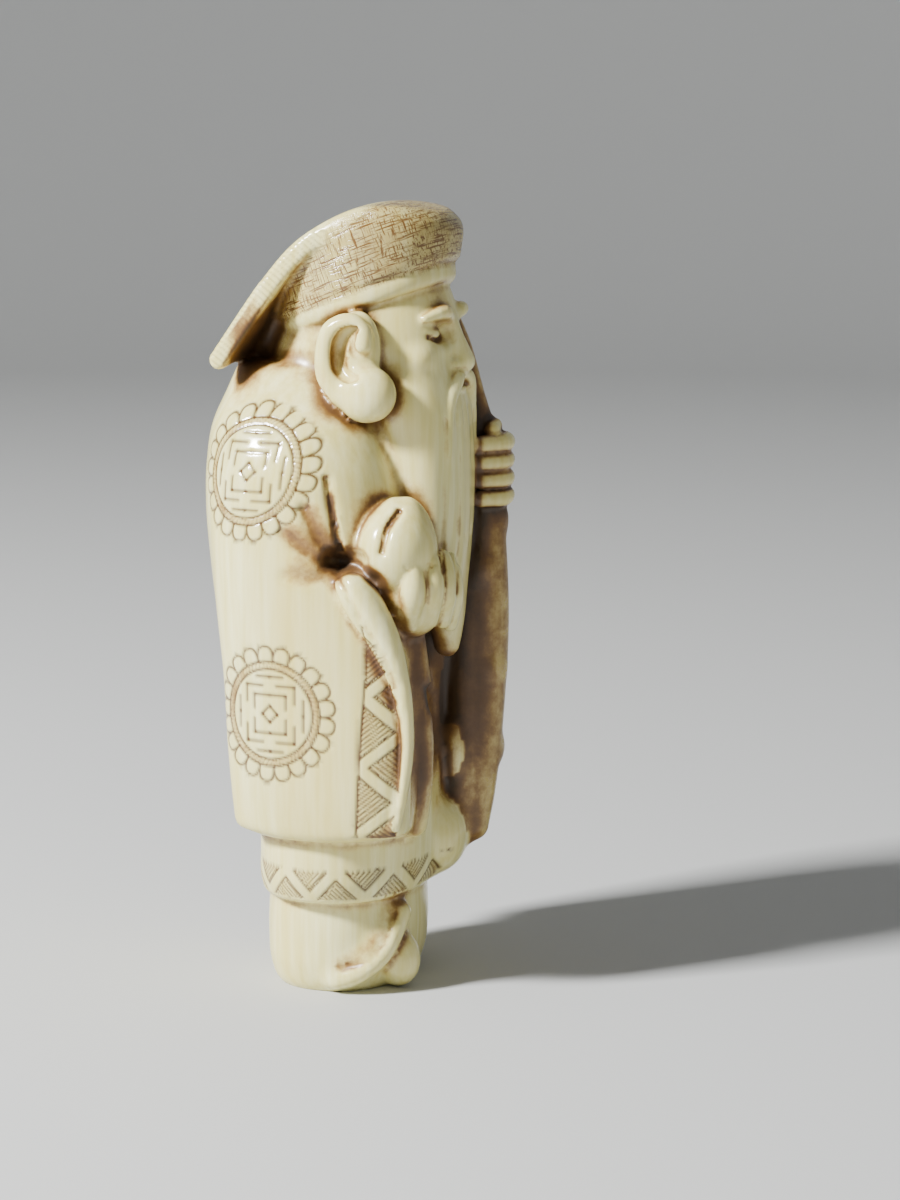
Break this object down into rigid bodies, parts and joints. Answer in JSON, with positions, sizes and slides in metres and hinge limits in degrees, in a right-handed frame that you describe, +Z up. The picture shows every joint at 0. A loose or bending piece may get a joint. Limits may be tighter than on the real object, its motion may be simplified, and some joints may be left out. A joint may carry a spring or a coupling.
{
  "type": "netsuke",
  "caption": "Carved toggle figure: a standing bearded sage in a cap and long sleeves, a peach in one hand and a staff in the other, with a cord tunnel in the back.",
  "frame": {"origin": "on the ground, under the middle of the figure's bounding box", "axes": "+Z up along the standing figure; the figure faces -Y; its own left hand is at +X"},
  "size_m": [0.0208, 0.019, 0.0519],
  "materials": {
    "ivory": "polished old ivory, cream white, with amber to dark brown stain in the recesses"
  },
  "bodies": {
    "root": {"carved_figure": "ivory"}
  },
  "joints": []
}
